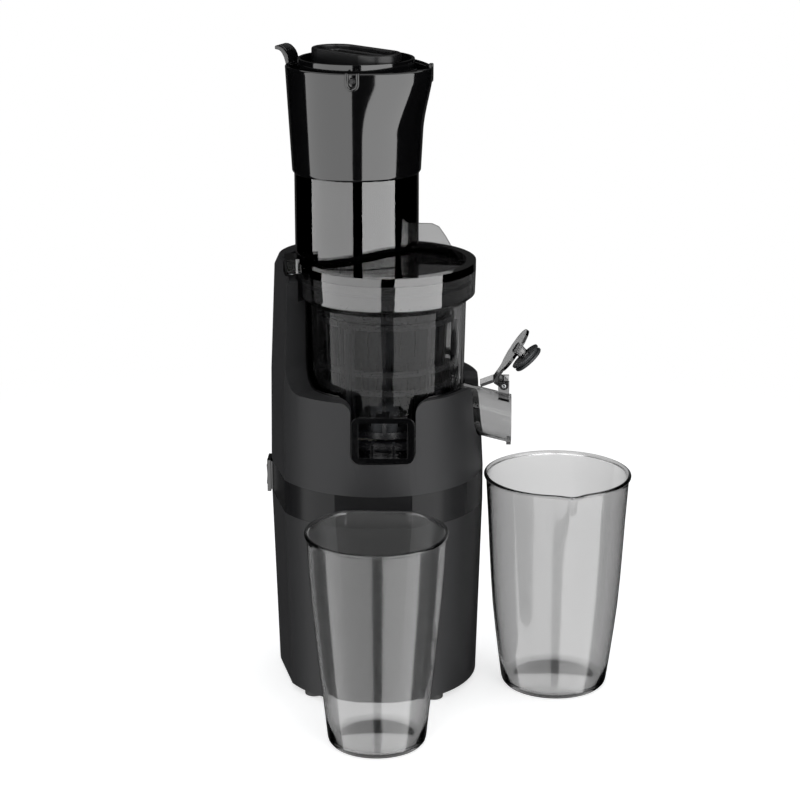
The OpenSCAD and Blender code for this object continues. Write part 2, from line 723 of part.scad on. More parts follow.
// Upper part of the hopper: flares from a circle to a round bulge at the front right.
module hopper_flare(g, z1) hull() {
  translate([0, 0, 406 - g / 100]) cylinder(r = chute_r + 2.6 - g, h = 1, $fn = 72);
  translate([0, 0, 441]) linear_extrude(height = z1 - 441, scale = 1.024)
    polygon([for (a = [0 : 5 : 355]) (flare_r + bulge(a) - g) * [cos(a), sin(a)]]);
}

module hopper() color("black") at(chute_c) {
  difference() {
    union() {
      translate([0, 0, hopper_base]) cylinder(r1 = chute_r + 1.4, r2 = chute_r + 2.6,
        h = 406 - hopper_base);
      hopper_flare(0, hopper_z);
      gate_frame() for (s = [-1, 1]) translate([0, s * gate_y, 0]) {
        rotate([90, 0, 0]) cylinder(r = 4.8, h = 5, center = true, $fn = 36);
        translate([-4.8, -2.5, -9]) cube([9.6, 5, 9]);
      }
    }
    disc(chute_r + 0.04, 300, hopper_base + 8);
    translate([0, 0, hopper_base + 7.9]) cylinder(r1 = chute_r - 1, r2 = chute_r + 0.2,
      h = 406 - hopper_base - 7.8);
    hopper_flare(hopper_t, hopper_z + 1);
    gate_frame() rotate([90, 0, 0]) cylinder(r = 2.08, h = 100, center = true, $fn = 36);
  }
  rotate([0, 0, 160]) translate([0, 9, 0]) rotate([90, 0, 0]) linear_extrude(height = 18)
    polygon([[48.9, 455], [48.9, 463], [50, 467], [53, 471.4], [57.2, 474], [60.2, 474],
      [60.2, 471.2], [57, 470.8], [54.2, 468.2], [52.2, 463.4], [51.2, 459.4], [50.4, 455]]);
}

// Frame of the gate hinge in the hopper: the origin on the axis, y along it.
module gate_frame() rotate([0, 0, -45]) translate([gate_x, 0, gate_z]) children();

module feed_gate() color("dimgray") at(chute_c) {
  intersection() {
    tube(45.2, 43.5, 434, gate_z + 3);
    sector(120, -78.5, -11.5, 400, 480);
  }
  gate_frame() for (s = [-1, 1]) translate([0, s * (gate_y - 4), 0]) rotate([90, 0, 0])
    cylinder(r = 2, h = 15.2, center = true, $fn = 36);
}

module pusher_cup() color("black") at(chute_c) {
  difference() {
    disc(pusher_r, pusher_base, cup_z);
    disc(pusher_r - 2.5, deck_z, cup_z + 1);
    disc(pusher_r - 2.5, pusher_base + 3, deck_z - 3);
  }
}

module stadium(l, w) {
  square([l - w, w], center = true);
  for (s = [-1, 1]) translate([s * (l - w) / 2, 0]) circle(w / 2);
}

module pusher_handle() color("black") at(chute_c) rotate([0, 0, -45])
  translate([0, 0, deck_z]) {
    linear_extrude(height = 3) stadium(79, 36);
    linear_extrude(height = pusher_z - deck_z) difference() {
      stadium(79, 36);
      stadium(71, 28);
    }
    linear_extrude(height = pusher_z - deck_z - 2) difference() {
      stadium(61, 15);
      stadium(55, 9);
    }
  }

// Juice jug: turned, with a pouring lip.
module jug_body(g) {
  rotate_extrude() polygon([[0, g], [35 - g, g], [39.5 - g, 4 + g], [44.6 - g, 42], [48.5 - g, 85],
    [jug_r - 2.4 - g, 130], [jug_r - g, jug_h + g], [0, jug_h + g]]);
  rotate([0, 0, -80]) hull() {
    translate([jug_r - 12, 0, jug_h - 30]) cylinder(r = 7 - g, h = 0.5, $fn = 32);
    translate([jug_r - 1.6, 0, jug_h - 0.8 + 2 * g]) cylinder(r = 4.5 - g, h = 0.5, $fn = 32);
    translate([jug_r - 12, 0, jug_h - 0.8 + 2 * g]) cylinder(r = 9 - g, h = 0.5, $fn = 32);
  }
}

module juice_jug() color("slategray", 0.5) at(jug_c) difference() {
  union() {
    jug_body(0);
    tube(jug_r + 1.4, jug_r - 1, jug_h - 2.4, jug_h);
  }
  jug_body(vessel_t);
}

// Pulp container: turned, with one flat side facing the housing.
module box_body(g) intersection() {
  rotate_extrude() polygon([[0, g], [31 - g, g], [35 - g, 4 + g], [39 - g, 40], [43.6 - g, 84],
    [box_r - 1.6 - g, 130], [box_r - g, box_h + g], [0, box_h + g]]);
  translate([-60, -60, -1]) cube([120, 60 + box_flat - g, 200]);
}

module pulp_container() color("slategray", 0.5) at(box_c) difference() {
  union() {
    box_body(0);
    intersection() {
      disc(box_r + 1.4, box_h - 2.4, box_h);
      translate([-60, -60, 0]) cube([120, 61.2 + box_flat, 200]);
    }
  }
  box_body(vessel_t);
}

lower_housing();
gloss_band();
upper_housing();
bowl_liner();
base_plate();
rubber_feet();
foot_screws();
cord_inlet();
power_switch_bezel();
power_switch_rocker();
motor_stator();
motor_end_frames();
motor_cushions();
motor_rotor();
motor_shaft();
motor_pinion();
cooling_fan();
gearbox_case();
gearbox_cover();
gearbox_screws();
shaft_bearings();
counter_gear();
counter_pinion();
counter_shaft();
output_gear();
drive_shaft();
shaft_seal();
control_board();
board_capacitor();
interlock_switch();
juicing_bowl();
bowl_hub_seal();
pulp_outlet_frame();
pulp_plug();
spout_hinge_bracket();
strainer_frame();
strainer_mesh();
auger_body();
auger_pinion();
auger_hex_socket();
auger_top_pin();
idler_gear_a();
idler_gear_b();
brush_frame();
silicone_wipers();
spout_flap();
spout_plug();
spout_hinge_pin();
bowl_lid();
lid_gasket();
lid_bearing();
lid_magnet();
feed_chute();
hopper();
feed_gate();
pusher_cup();
pusher_handle();
juice_jug();
pulp_container();
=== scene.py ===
import bpy
import math
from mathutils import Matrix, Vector


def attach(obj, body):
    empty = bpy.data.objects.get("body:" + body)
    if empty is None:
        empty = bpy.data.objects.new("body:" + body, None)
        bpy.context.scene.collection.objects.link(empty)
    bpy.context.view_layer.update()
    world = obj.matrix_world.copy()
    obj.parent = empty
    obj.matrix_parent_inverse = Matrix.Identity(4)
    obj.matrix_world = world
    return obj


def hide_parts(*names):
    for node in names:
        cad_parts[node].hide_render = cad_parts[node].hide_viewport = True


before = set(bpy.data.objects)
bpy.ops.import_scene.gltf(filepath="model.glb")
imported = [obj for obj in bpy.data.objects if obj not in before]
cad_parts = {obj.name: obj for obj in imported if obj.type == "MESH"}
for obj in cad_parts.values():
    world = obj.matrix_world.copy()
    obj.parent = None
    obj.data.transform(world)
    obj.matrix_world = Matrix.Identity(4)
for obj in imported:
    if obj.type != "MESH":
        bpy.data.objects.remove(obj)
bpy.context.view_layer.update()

# ---------------------------------------------------------------- Camera
# A long lens from a little above the lid, almost square to the pulp outlet, as in the
# photograph. Both angles and the place come from the uprights and ellipses of the photograph.
pitch, yaw = 16.5, 2.04
lens = bpy.data.cameras.new("camera")
lens.sensor_width = 36
lens.lens = 99
lens.clip_end = 60
camera = bpy.data.objects.new("camera", lens)
camera.location = (0.0653, -1.5586, 0.6798)
camera.rotation_euler = (math.radians(90 - pitch), 0, math.radians(yaw))
bpy.context.collection.objects.link(camera)
bpy.context.scene.camera = camera
bpy.context.scene.view_settings.view_transform = "Standard"


# ---------------------------------------------------------------- Studio
# A white sweep with two tall softboxes at the front and dark flags beside them, which are
# seen only as reflections or through clear plastic, and three soft lamps for the matt parts.
def linear(code):
    """An sRGB hex colour as linear red, green, blue and alpha."""
    parts = [int(code[i:i + 2], 16) / 255 for i in (1, 3, 5)]
    return [c / 12.92 if c <= 0.04045 else ((c + 0.055) / 1.055) ** 2.4 for c in parts] + [1]


def add(material, kind, inputs=(), **settings):
    """A node with its settings, and with a link or a value for each input."""
    made = material.node_tree.nodes.new(kind)
    for key, value in settings.items():
        setattr(made, key, value)
    for key, value in dict(inputs).items():
        if isinstance(value, bpy.types.NodeSocket):
            material.node_tree.links.new(value, made.inputs[key])
        else:
            made.inputs[key].default_value = value
    return made


def blank(name):
    """A material with no nodes yet."""
    material = bpy.data.materials.new(name)
    material.use_nodes = True
    material.node_tree.nodes.clear()
    return material


def alone(piece):
    """Makes the piece the only selected one, and active."""
    bpy.ops.object.select_all(action="DESELECT")
    piece.select_set(True)
    bpy.context.view_layer.objects.active = piece


world = bpy.data.worlds.new("white_sweep")
bpy.context.scene.world = world
world.use_nodes = True
world.node_tree.nodes.clear()
path = add(world, "ShaderNodeLightPath")
seen = add(world, "ShaderNodeMath", {0: path.outputs["Is Camera Ray"],
                                     1: path.outputs["Is Glossy Ray"]}, operation="MAXIMUM")
seen = add(world, "ShaderNodeMath", {0: seen.outputs[0],
                                     1: path.outputs["Is Transmission Ray"]}, operation="MAXIMUM")
fill = add(world, "ShaderNodeBackground", {"Color": linear("#c4c6c8"), "Strength": 0.7})
white = add(world, "ShaderNodeBackground", {"Color": linear("#ffffff"), "Strength": 1.0})
both = add(world, "ShaderNodeMixShader", {0: seen.outputs[0], 1: fill.outputs[0],
                                          2: white.outputs[0]})
add(world, "ShaderNodeOutputWorld", {"Surface": both.outputs[0]})

bpy.ops.object.select_all(action="DESELECT")
floor_width, floor_drop = 14, 0.0002
bpy.ops.mesh.primitive_plane_add(size=floor_width, location=(0, 0, -floor_drop))
floor = bpy.context.object
floor.name = "studio_floor"
paper = blank("white_paper_sweep")
path = add(paper, "ShaderNodeLightPath")
place = add(paper, "ShaderNodeTexCoord")
away = add(paper, "ShaderNodeVectorMath", {0: place.outputs["Object"]}, operation="LENGTH")
far = add(paper, "ShaderNodeMapRange", {"Value": away.outputs["Value"], "From Min": 0.3,
                                        "From Max": 0.9}, interpolation_type="SMOOTHSTEP")
sheet = add(paper, "ShaderNodeBsdfDiffuse", {"Color": linear("#ededed")})
glow = add(paper, "ShaderNodeEmission", {"Color": linear("#ffffff"), "Strength": 0.62})
white = add(paper, "ShaderNodeEmission", {"Color": linear("#ffffff"), "Strength": 1.0})
lit = add(paper, "ShaderNodeAddShader", {0: sheet.outputs[0], 1: glow.outputs[0]})
faded = add(paper, "ShaderNodeMixShader", {0: far.outputs["Result"], 1: lit.outputs[0],
                                           2: white.outputs[0]})
both = add(paper, "ShaderNodeMixShader", {0: path.outputs["Is Camera Ray"], 1: sheet.outputs[0],
                                          2: faded.outputs[0]})
through = add(paper, "ShaderNodeMixShader", {0: path.outputs["Is Transmission Ray"],
                                             1: both.outputs[0], 2: white.outputs[0]})
add(paper, "ShaderNodeOutputMaterial", {"Surface": through.outputs[0]})
floor.data.materials.append(paper)
floor.visible_glossy = False

# Every card is a strip of a standing cylinder around the juicer: its name, first and last
# angle from +X, strength and height. The back flag is tall, so that faces that are tilted
# upwards mirror it too. Clear plastic sees the flags at its sides as dim.
card_radius = 2.4
seen_through = 0.3
cards = [("softbox_left", -178.0, -94.5, 2.6, 4.6), ("softbox_right", -77.5, -12.5, 3.8, 4.6),
         ("flag_middle", -94.5, -77.5, 0.0, 4.6), ("flag_left", -236.0, -178.0, 0.0, 4.6),
         ("flag_right", -12.5, 62.0, 0.0, 4.6), ("flag_back", 62.0, 124.0, 0.03, 14.0)]
for name, start, stop, strength, height in cards:
    bpy.ops.object.select_all(action="DESELECT")
    bpy.ops.mesh.primitive_cylinder_add(vertices=720, radius=card_radius, depth=height,
                                        end_fill_type="NOTHING", location=(0, 0, 0.0))
    card = bpy.context.object
    card.name = name
    bpy.ops.object.mode_set(mode="EDIT")
    bpy.ops.mesh.select_mode(type="FACE")
    bpy.ops.mesh.select_all(action="DESELECT")
    bpy.ops.object.mode_set(mode="OBJECT")
    for face in card.data.polygons:
        turn = math.degrees(math.atan2(face.center.y, face.center.x))
        inside = any(start <= turn + full <= stop for full in (-360, 0, 360))
        face.select = not inside
    bpy.ops.object.mode_set(mode="EDIT")
    bpy.ops.mesh.delete(type="FACE")
    bpy.ops.mesh.select_mode(type="VERT")
    bpy.ops.object.mode_set(mode="OBJECT")
    cloth = blank(name + "_cloth")
    path = add(cloth, "ShaderNodeLightPath")
    level = add(cloth, "ShaderNodeMapRange", {"Value": path.outputs["Is Transmission Ray"],
                                              "To Min": strength, "To Max": seen_through})
    glow = add(cloth, "ShaderNodeEmission", {"Color": linear("#ffffff"),
                                             "Strength": level.outputs["Result"]})
    add(cloth, "ShaderNodeOutputMaterial", {"Surface": glow.outputs[0]})
    card.data.materials.append(cloth)
    card.visible_camera = card.visible_diffuse = False
    card.visible_transmission = name in ("flag_left", "flag_right")
    card.visible_shadow = card.visible_volume_scatter = False

# Each lamp has a place, watts and a width, and points at the middle of the juicer.
aim = Vector((0, 0, 0.22))
lamps = [("lamp_left", (-0.75, -2.2, 1.3), 11, 1.0), ("lamp_right", (1.2, -1.8, 1.1), 10, 0.9),
         ("lamp_top", (0.15, 0.2, 2.1), 10, 1.2)]
for name, place, power, size in lamps:
    light = bpy.data.lights.new(name, "AREA")
    light.energy = power
    light.size = size
    lamp = bpy.data.objects.new(name, light)
    lamp.location = place
    lamp.rotation_euler = (aim - Vector(place)).to_track_quat("-Z", "Y").to_euler()
    lamp.visible_glossy = False
    bpy.context.collection.objects.link(lamp)


# ---------------------------------------------------------------- Housing
# Two moulded shells and a bottom plate of black ABS. The tool is spark eroded, so the skin
# is matt and finely grained, and every edge has a small moulding radius.
def plastic(name, colour, other, rough, grain, depth, ior=1.54, shine=0.5):
    """Plastic with a slow colour drift and a surface grain of that size and depth in mm."""
    material = blank(name)
    place = add(material, "ShaderNodeTexCoord")
    drift = add(material, "ShaderNodeTexNoise", {"Vector": place.outputs["Object"], "Scale": 28.0,
                                                 "Detail": 3.0, "Roughness": 0.6})
    tone = add(material, "ShaderNodeMix", {"Factor": drift.outputs["Fac"], "A": linear(colour),
                                           "B": linear(other)}, data_type="RGBA")
    fine = add(material, "ShaderNodeTexNoise", {"Vector": place.outputs["Object"],
                                                "Scale": 1000.0 / grain, "Detail": 4.0,
                                                "Roughness": 0.55})
    dull = add(material, "ShaderNodeMapRange", {"Value": fine.outputs["Fac"],
                                                "To Min": rough - 0.04, "To Max": rough + 0.05})
    relief = add(material, "ShaderNodeBump", {"Height": fine.outputs["Fac"], "Strength": 0.35,
                                              "Distance": depth / 1000})
    skin = add(material, "ShaderNodeBsdfPrincipled", {"Roughness": dull.outputs["Result"],
                                                      "IOR": ior, "Specular IOR Level": shine,
                                                      "Normal": relief.outputs["Normal"]})
    material.node_tree.links.new(tone.outputs[2], skin.inputs["Base Color"])
    add(material, "ShaderNodeOutputMaterial", {"Surface": skin.outputs[0]})
    return material


def rounded(name, node, body, material, edge=0.6, sharp=30, weld=0.01, segments=2):
    """A copy of a CAD solid, shown in its place, with every edge that is sharper than sharp
    degrees rounded by edge mm. Corners closer than weld mm are merged first."""
    piece = bpy.data.objects.new(name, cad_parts[node].data.copy())
    piece.data.name = name
    bpy.context.collection.objects.link(piece)
    alone(piece)
    bpy.ops.mesh.customdata_custom_splitnormals_clear()
    bpy.ops.object.mode_set(mode="EDIT")
    bpy.ops.mesh.select_all(action="SELECT")
    bpy.ops.mesh.remove_doubles(threshold=weld / 1000)
    bpy.ops.mesh.dissolve_limited(angle_limit=math.radians(0.4))
    bpy.ops.object.mode_set(mode="OBJECT")
    if edge:
        bevel = piece.modifiers.new("edge", "BEVEL")
        bevel.width = edge / 1000
        bevel.segments = segments
        bevel.limit_method = "ANGLE"
        bevel.angle_limit = math.radians(sharp)
        bpy.ops.object.modifier_apply(modifier="edge")
    bpy.ops.object.shade_smooth_by_angle(angle=math.radians(max(sharp, 31)))
    weight = piece.modifiers.new("weight", "WEIGHTED_NORMAL")
    weight.keep_sharp = True
    bpy.ops.object.modifier_apply(modifier="weight")
    piece.data.materials.clear()
    piece.data.materials.append(material)
    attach(piece, body)
    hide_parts(node)
    return piece


matt_abs = plastic("spark_eroded_black_abs", "#262627", "#2a2a2b", 0.45, 1.1, 0.05, 1.54, 0.18)
rounded("housing_shell_lower", "lower_housing", "base", matt_abs, 0.8, 18)
rounded("housing_shell_upper", "upper_housing", "base", matt_abs, 1.0, 18,
        weld=0.07, segments=3)
rounded("housing_bottom", "base_plate", "base", matt_abs, 0.4)

# ---------------------------------------------------------------- Gloss band and bowl liner
# The band between the shells is satin black ABS, and the trim around the bowl is polished black
# ABS. Moulded walls are never quite flat, so a slow ripple bends what the trim reflects.
def gloss(name, colour, ripple, depth, rough=0.06, coat=0.2):
    """Polished plastic under its own gloss, with a slow ripple of that size and depth in mm."""
    material = blank(name)
    place = add(material, "ShaderNodeTexCoord")
    slow = add(material, "ShaderNodeTexNoise", {"Vector": place.outputs["Object"],
                                                "Scale": 1000.0 / ripple, "Detail": 1.0})
    dust = add(material, "ShaderNodeTexNoise", {"Vector": place.outputs["Object"], "Scale": 900.0,
                                                "Detail": 6.0, "Roughness": 0.7})
    dull = add(material, "ShaderNodeMapRange", {"Value": dust.outputs["Fac"], "From Min": 0.4,
                                                "From Max": 0.75, "To Min": rough,
                                                "To Max": rough + 0.06})
    tone = add(material, "ShaderNodeMix", {"Factor": slow.outputs["Fac"], "A": linear(colour),
                                           "B": linear("#101011")}, data_type="RGBA")
    relief = add(material, "ShaderNodeBump", {"Height": slow.outputs["Fac"], "Strength": 1.0,
                                              "Distance": depth / 1000})
    skin = add(material, "ShaderNodeBsdfPrincipled", {"Roughness": dull.outputs["Result"],
                                                      "IOR": 1.54, "Coat Weight": coat,
                                                      "Coat Roughness": 0.03, "Coat IOR": 1.5,
                                                      "Normal": relief.outputs["Normal"],
                                                      "Coat Normal": relief.outputs["Normal"]})
    material.node_tree.links.new(tone.outputs[2], skin.inputs["Base Color"])
    add(material, "ShaderNodeOutputMaterial", {"Surface": skin.outputs[0]})
    return material


gloss_abs = gloss("polished_black_abs", "#0a0a0b", 30, 0.05)
dark_abs = plastic("satin_black_abs_band", "#1c1c1d", "#222223", 0.22, 2.0, 0.01, 1.54, 0.12)
rounded("band", "gloss_band", "base", dark_abs, 0.5, 18)
rounded("bowl_trim", "bowl_liner", "base", gloss_abs, 0.3)

# ---------------------------------------------------------------- Feet and bottom screws
# Four pads of black rubber with a shore hardness near 60, each held by a zinc plated
# cross-head screw that goes through the bottom plate into the shell.
rubber = plastic("moulded_black_rubber", "#141414", "#1b1b1a", 0.68, 1.0, 0.08, 1.52)
rounded("foot_pads", "rubber_feet", "base", rubber, 0.6)


def metal(name, colour, other, rough, grain, stretch=(1, 1, 1), depth=0.02):
    """Metal with a grain of that size and depth in mm, finer along an axis stretched over 1."""
    material = blank(name)
    place = add(material, "ShaderNodeTexCoord")
    turn = add(material, "ShaderNodeMapping", {"Vector": place.outputs["Object"],
                                               "Scale": stretch})
    fine = add(material, "ShaderNodeTexNoise", {"Vector": turn.outputs["Vector"],
                                                "Scale": 1000.0 / grain, "Detail": 5.0,
                                                "Roughness": 0.6})
    tone = add(material, "ShaderNodeMix", {"Factor": fine.outputs["Fac"], "A": linear(colour),
                                           "B": linear(other)}, data_type="RGBA")
    dull = add(material, "ShaderNodeMapRange", {"Value": fine.outputs["Fac"],
                                                "To Min": rough - 0.06, "To Max": rough + 0.08})
    relief = add(material, "ShaderNodeBump", {"Height": fine.outputs["Fac"], "Strength": 0.4,
                                              "Distance": depth / 1000})
    skin = add(material, "ShaderNodeBsdfPrincipled", {"Roughness": dull.outputs["Result"],
                                                      "Metallic": 1.0,
                                                      "Normal": relief.outputs["Normal"]})
    material.node_tree.links.new(tone.outputs[2], skin.inputs["Base Color"])
    add(material, "ShaderNodeOutputMaterial", {"Surface": skin.outputs[0]})
    return material


zinc_steel = metal("zinc_plated_steel", "#b9bcc0", "#a6a9b2", 0.30, 1.2)
rounded("bottom_screws", "foot_screws", "base", zinc_steel, 0.25)

# ---------------------------------------------------------------- Cord inlet
# A sleeve of flexible PVC that is pressed into the rear wall of the lower shell. Its bore
# takes the mains cord and keeps it from bending sharply at the wall.
soft_pvc = plastic("flexible_black_pvc", "#181818", "#202020", 0.45, 1.4, 0.04, 1.53)
rounded("inlet_sleeve", "cord_inlet", "base", soft_pvc, 0.8)

# ---------------------------------------------------------------- Power switch
# A rocker of satin black polyamide in a gloss black frame, snapped into the left side of
# the band. It tilts on its own pin.
rounded("switch_frame", "power_switch_bezel", "base", gloss_abs, 0.7)
satin_pa = plastic("satin_black_polyamide", "#1d1d1e", "#222223", 0.34, 0.9, 0.03, 1.53)
rounded("switch_rocker", "power_switch_rocker", "switch_rocker", satin_pa, 0.6)

# ---------------------------------------------------------------- Motor
# An induction motor: punched steel laminations, die-cast end frames, a ground steel shaft
# and a black fan. It is closed in, so only its own finishes are set here.
def dressed(node, material):
    """Gives a CAD node that stays as it is its material."""
    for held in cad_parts[node].material_slots:
        held.material = material


def laminated(name, colour, gap, pitch):
    """Steel sheets stacked along z with that pitch in mm, drawn twice as coarse as real."""
    material = blank(name)
    place = add(material, "ShaderNodeTexCoord")
    sheets = add(material, "ShaderNodeTexWave", {"Vector": place.outputs["Object"],
                                                 "Scale": 1000.0 / pitch / 20 * math.pi,
                                                 "Distortion": 0.4}, bands_direction="Z")
    tone = add(material, "ShaderNodeMix", {"Factor": sheets.outputs["Fac"], "A": linear(gap),
                                           "B": linear(colour)}, data_type="RGBA")
    relief = add(material, "ShaderNodeBump", {"Height": sheets.outputs["Fac"], "Strength": 0.5,
                                              "Distance": 0.0002})
    skin = add(material, "ShaderNodeBsdfPrincipled", {"Roughness": 0.42, "Metallic": 1.0,
                                                      "Normal": relief.outputs["Normal"]})
    material.node_tree.links.new(tone.outputs[2], skin.inputs["Base Color"])
    add(material, "ShaderNodeOutputMaterial", {"Surface": skin.outputs[0]})
    return material


lamination = laminated("punched_steel_sheets", "#8d8f92", "#3c3d40", 1.0)
cast_aluminium = metal("die_cast_aluminium", "#b4b6b9", "#9a9ca0", 0.46, 1.6, (1, 1, 1), 0.08)
ground_steel = metal("ground_steel_bar", "#c9cbce", "#b2b4b8", 0.20, 0.8, (1, 1, 0.06))
fan_pp = plastic("moulded_black_polypropylene", "#1e1e1f", "#262627", 0.42, 1.3, 0.05, 1.49)
dressed("motor_stator", lamination)
dressed("motor_rotor", lamination)
dressed("motor_end_frames", cast_aluminium)
dressed("motor_cushions", rubber)
dressed("motor_shaft", ground_steel)
dressed("motor_pinion", ground_steel)
dressed("cooling_fan", fan_pp)

# ---------------------------------------------------------------- Gearbox
# A two-stage reduction in an aluminium case: steel pinions, acetal wheels that run quietly,
# sintered bearings and a stainless output shaft that ends in the drive hexagon.
acetal = plastic("moulded_white_acetal", "#e6e3da", "#dcd8cd", 0.36, 1.5, 0.03, 1.48)
bronze = metal("sintered_bronze", "#a9825a", "#8e6b48", 0.42, 0.9, (1, 1, 1), 0.05)
stainless = metal("turned_stainless_steel", "#cfd1d3", "#bcbec1", 0.18, 0.7, (1, 1, 8))
dressed("gearbox_case", cast_aluminium)
dressed("gearbox_cover", cast_aluminium)
dressed("gearbox_screws", zinc_steel)
dressed("shaft_bearings", bronze)
dressed("counter_gear", acetal)
dressed("counter_pinion", ground_steel)
dressed("counter_shaft", ground_steel)
dressed("output_gear", acetal)
dressed("drive_shaft", stainless)
dressed("shaft_seal", rubber)

# ---------------------------------------------------------------- Control board
# Glass-epoxy board with green solder mask, its capacitor and relay, and the micro switch
# that stops the motor when the lid is off.
mask = blank("green_solder_mask")
place = add(mask, "ShaderNodeTexCoord")
tracks = add(mask, "ShaderNodeTexBrick", {"Vector": place.outputs["Object"], "Scale": 150.0,
                                          "Color1": linear("#123d22"), "Color2": linear("#18512c"),
                                          "Mortar": linear("#2c7a44"), "Mortar Size": 0.03})
cover = add(mask, "ShaderNodeBsdfPrincipled", {"Base Color": tracks.outputs["Color"], "IOR": 1.55,
                                               "Roughness": 0.25})
add(mask, "ShaderNodeOutputMaterial", {"Surface": cover.outputs[0]})
film = plastic("blue_capacitor_film", "#1d3f86", "#24499a", 0.30, 2.0, 0.02, 1.5)
dressed("control_board", mask)
dressed("board_capacitor", film)
dressed("interlock_switch", satin_pa)


# ---------------------------------------------------------------- Bowl
# Smoke-grey copolyester, injection moulded and polished on both sides, with the juice spout
# and the pulp duct in one piece. The wall takes up about half of the light at each pass.
def smoke(name, density, shine=1.0, coat=0.0, rough=0.02, sheen=0.02):
    """Clear plastic whose grey comes from absorption of that density inside the wall, in
    1/m. Shine scales its mirror image, and sheen is the roughness of its coat."""
    material = blank(name)
    place = add(material, "ShaderNodeTexCoord")
    slow = add(material, "ShaderNodeTexNoise", {"Vector": place.outputs["Object"], "Scale": 45.0,
                                                "Detail": 1.0})
    dust = add(material, "ShaderNodeTexNoise", {"Vector": place.outputs["Object"], "Scale": 1100.0,
                                                "Detail": 5.0, "Roughness": 0.7})
    dull = add(material, "ShaderNodeMapRange", {"Value": dust.outputs["Fac"], "From Min": 0.45,
                                                "From Max": 0.8, "To Min": rough,
                                                "To Max": rough + 0.05})
    relief = add(material, "ShaderNodeBump", {"Height": slow.outputs["Fac"], "Strength": 0.6,
                                              "Distance": 0.00004})
    skin = add(material, "ShaderNodeBsdfPrincipled", {"Base Color": linear("#ffffff"), "IOR": 1.54,
                                                      "Roughness": dull.outputs["Result"],
                                                      "Transmission Weight": 1.0,
                                                      "Specular Tint": [shine, shine, shine, 1],
                                                      "Coat Weight": coat, "Coat Roughness": sheen,
                                                      "Normal": relief.outputs["Normal"]})
    depth = add(material, "ShaderNodeVolumeAbsorption", {"Color": linear("#3c3c3e"),
                                                         "Density": density})
    add(material, "ShaderNodeOutputMaterial", {"Surface": skin.outputs[0],
                                               "Volume": depth.outputs[0]})
    return material


def graded(material, part, steps, middle=0.0):
    """Links sockets to a value that changes with the height, or with the distance in plan
    from a circle of radius middle around the bowl axis."""
    skin = next(node for node in material.node_tree.nodes if node.type == "BSDF_PRINCIPLED")
    place = add(material, "ShaderNodeTexCoord")
    if part == "height":
        axes = add(material, "ShaderNodeSeparateXYZ", {"Vector": place.outputs["Object"]})
        level = axes.outputs["Z"]
    else:
        flat = add(material, "ShaderNodeVectorMath", {0: place.outputs["Object"], 1: (1, 1, 0)},
                   operation="MULTIPLY")
        out = add(material, "ShaderNodeVectorMath", {0: flat.outputs[0]}, operation="LENGTH")
        level = add(material, "ShaderNodeMath", {0: out.outputs["Value"], 1: middle / 1000},
                    operation="SUBTRACT")
        level = add(material, "ShaderNodeMath", {0: level.outputs[0]},
                    operation="ABSOLUTE").outputs[0]
    for key, low, high, below, above in steps:
        value = add(material, "ShaderNodeMapRange", {"Value": level, "From Min": low / 1000,
                                                     "From Max": high / 1000, "To Min": below,
                                                     "To Max": above})
        material.node_tree.links.new(value.outputs["Result"], skin.inputs[key])


# The collar has painted reflection, a coat and a full mirror image; the wall below it has
# painted shade, its mirror image dimmed to three tenths and no coat.
collar_base = 300.0
smoke_bowl = smoke("smoke_copolyester", 300.0, 0.3)
graded(smoke_bowl, "height", [("Specular Tint", collar_base, collar_base + 1.0, 0.3, 1.0),
                              ("Coat Weight", collar_base, collar_base + 1.0, 0.0, 1.0)])
bowl = rounded("bowl_wall", "juicing_bowl", "bowl_set", smoke_bowl, 0.6)
bowl.visible_shadow = False
silicone = plastic("cast_white_silicone", "#d8d8d4", "#cfcfca", 0.5, 1.2, 0.03, 1.43)
dark_silicone = plastic("cast_grey_silicone", "#26282a", "#2f3133", 0.5, 1.2, 0.03, 1.43)
rounded("hub_lip_seal", "bowl_hub_seal", "bowl_set", silicone, 0.2)
mirror_abs = gloss("high_gloss_black_abs", "#0a0a0b", 30, 0.02, 0.03, 1.0)
rounded("outlet_frame", "pulp_outlet_frame", "bowl_set", mirror_abs, 1.3,
        segments=4)
rounded("outlet_stopper", "pulp_plug", "bowl_set", dark_silicone, 0.4)
rounded("cap_bracket", "spout_hinge_bracket", "bowl_set", smoke_bowl, 0.5)

# ---------------------------------------------------------------- Strainer, brush and auger
# The strainer is a perforated steel cone in a black frame. The brush ring carries three
# silicone blades around it, and the auger turns inside. Two idlers turn the ring backwards.
dark_pei = plastic("moulded_dark_polyetherimide", "#1b1b1d", "#242427", 0.26, 1.6, 0.03, 1.64)
rounded("strainer_cage", "strainer_frame", "bowl_set", dark_pei, 0.4)
mesh_steel = blank("etched_strainer_steel")
place = add(mesh_steel, "ShaderNodeTexCoord")
# The real holes are 0.4 mm wide; they are drawn at a 1.3 mm pitch so that they show.
holes = add(mesh_steel, "ShaderNodeTexVoronoi", {"Vector": place.outputs["Object"], "Scale": 770.0,
                                                 "Randomness": 0.15})
edge = add(mesh_steel, "ShaderNodeMapRange", {"Value": holes.outputs["Distance"], "From Min": 0.2,
                                              "From Max": 0.32})
tone = add(mesh_steel, "ShaderNodeMix", {"Factor": edge.outputs["Result"], "A": linear("#0c0c0d"),
                                         "B": linear("#3a3b3d")}, data_type="RGBA")
relief = add(mesh_steel, "ShaderNodeBump", {"Height": edge.outputs["Result"], "Strength": 0.6,
                                            "Distance": 0.0002})
skin = add(mesh_steel, "ShaderNodeBsdfPrincipled", {"Roughness": 0.36, "Metallic": 1.0,
                                                    "Normal": relief.outputs["Normal"]})
mesh_steel.node_tree.links.new(tone.outputs[2], skin.inputs["Base Color"])
add(mesh_steel, "ShaderNodeOutputMaterial", {"Surface": skin.outputs[0]})
rounded("strainer_cone", "strainer_mesh", "bowl_set", mesh_steel, 0.0)
